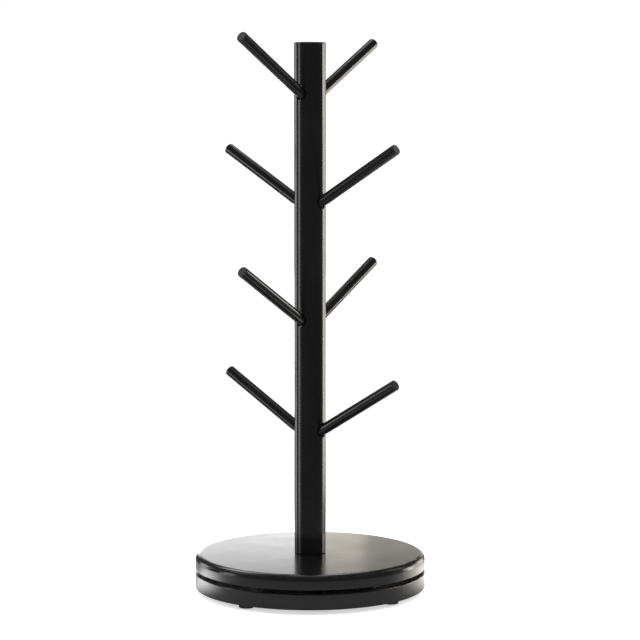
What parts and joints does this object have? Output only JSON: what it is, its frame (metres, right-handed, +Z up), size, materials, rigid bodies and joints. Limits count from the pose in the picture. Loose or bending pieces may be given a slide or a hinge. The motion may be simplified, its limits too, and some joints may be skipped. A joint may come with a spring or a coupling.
{
  "type": "mug tree",
  "caption": "Rotating mug tree: a slim round post on a weighted turntable base, with crossed pairs of upswept rod arms that hold mugs by their handles.",
  "frame": {"origin": "centre of the plane that the feet stand on, on the turning axis", "axes": "+Z up along the post; the lowest and third pairs of arms lie along X, the second and top pairs along Y"},
  "size_m": [0.184, 0.184, 0.4422],
  "materials": {
    "black_coat": "satin",
    "black_plastic": "satin",
    "black_rubber": "matte",
    "cast_iron": "matte",
    "zinc_steel": "satin",
    "ring_aluminium": "satin",
    "ball_steel": "polished",
    "nylon": "matte"
  },
  "bodies": {
    "base": {"base_shell": "black_coat", "base_weight": "cast_iron", "base_plate": "zinc_steel", "base_plate_screws": "zinc_steel", "foot_front": "black_rubber", "foot_back": "black_rubber", "foot_left": "black_rubber", "foot_right": "black_rubber", "bearing_outer_ring": "ring_aluminium", "bearing_outer_screws": "zinc_steel"},
    "ball_cage": {"bearing_balls": "ball_steel", "bearing_ball_cage": "nylon"},
    "turntable": {"turntable_shell": "black_coat", "post": "black_coat", "arm_1_left": "black_coat", "arm_1_right": "black_coat", "arm_2_front": "black_coat", "arm_2_back": "black_coat", "arm_3_left": "black_coat", "arm_3_right": "black_coat", "arm_4_front": "black_coat", "arm_4_back": "black_coat", "post_cap": "black_plastic", "bearing_inner_screws": "zinc_steel", "turntable_hub_plate": "zinc_steel", "post_bolt": "zinc_steel", "post_spring_washer": "zinc_steel", "post_flat_washer": "zinc_steel", "post_foot_plug": "zinc_steel", "arm_socket_1": "zinc_steel", "arm_socket_2": "zinc_steel", "arm_socket_3": "zinc_steel", "arm_socket_4": "zinc_steel", "bearing_inner_ring": "ring_aluminium"}
  },
  "joints": [
    {"name": "turntable_spin", "type": "hinge", "parent": "base", "child": "turntable", "pos_m": [0, 0, 0.01995], "axis": [0, 0, 1], "continuous": true},
    {"name": "ball_cage_spin", "type": "hinge", "parent": "base", "child": "ball_cage", "pos_m": [0, 0, 0.01995], "axis": [0, 0, 1], "continuous": true}
  ],
  "couplings": [
    {"joint": "ball_cage_spin", "follows": "turntable_spin", "ratio": 0.481}
  ]
}
